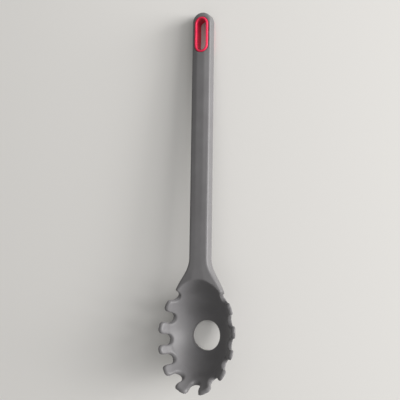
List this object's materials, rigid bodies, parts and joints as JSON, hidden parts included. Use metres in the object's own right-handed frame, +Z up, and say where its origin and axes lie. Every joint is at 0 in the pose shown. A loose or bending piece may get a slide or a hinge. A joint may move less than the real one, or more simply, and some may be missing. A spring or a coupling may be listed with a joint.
{
  "type": "pasta server",
  "caption": "Long-handled pasta server: open silicone bowl with a toothed rim, a round drain hole, an eight-sided handle and a lined hanging eye.",
  "frame": {"origin": "middle of the bounding box in plan, on the surface that the server lies on", "axes": "the server lies on its back: +Z up out of the bowl's open side, +Y along the handle from the bowl to the hanging eye, +X to the right when the handle points away"},
  "size_m": [0.0688, 0.3159, 0.0417],
  "materials": {
    "silicone": "satin moulded silicone",
    "nylon": "as moulded",
    "liner": "glossy moulded"
  },
  "bodies": {
    "root": {"silicone_skin": "silicone", "stiff_core": "nylon", "hanging_eye_liner": "liner"}
  },
  "joints": []
}
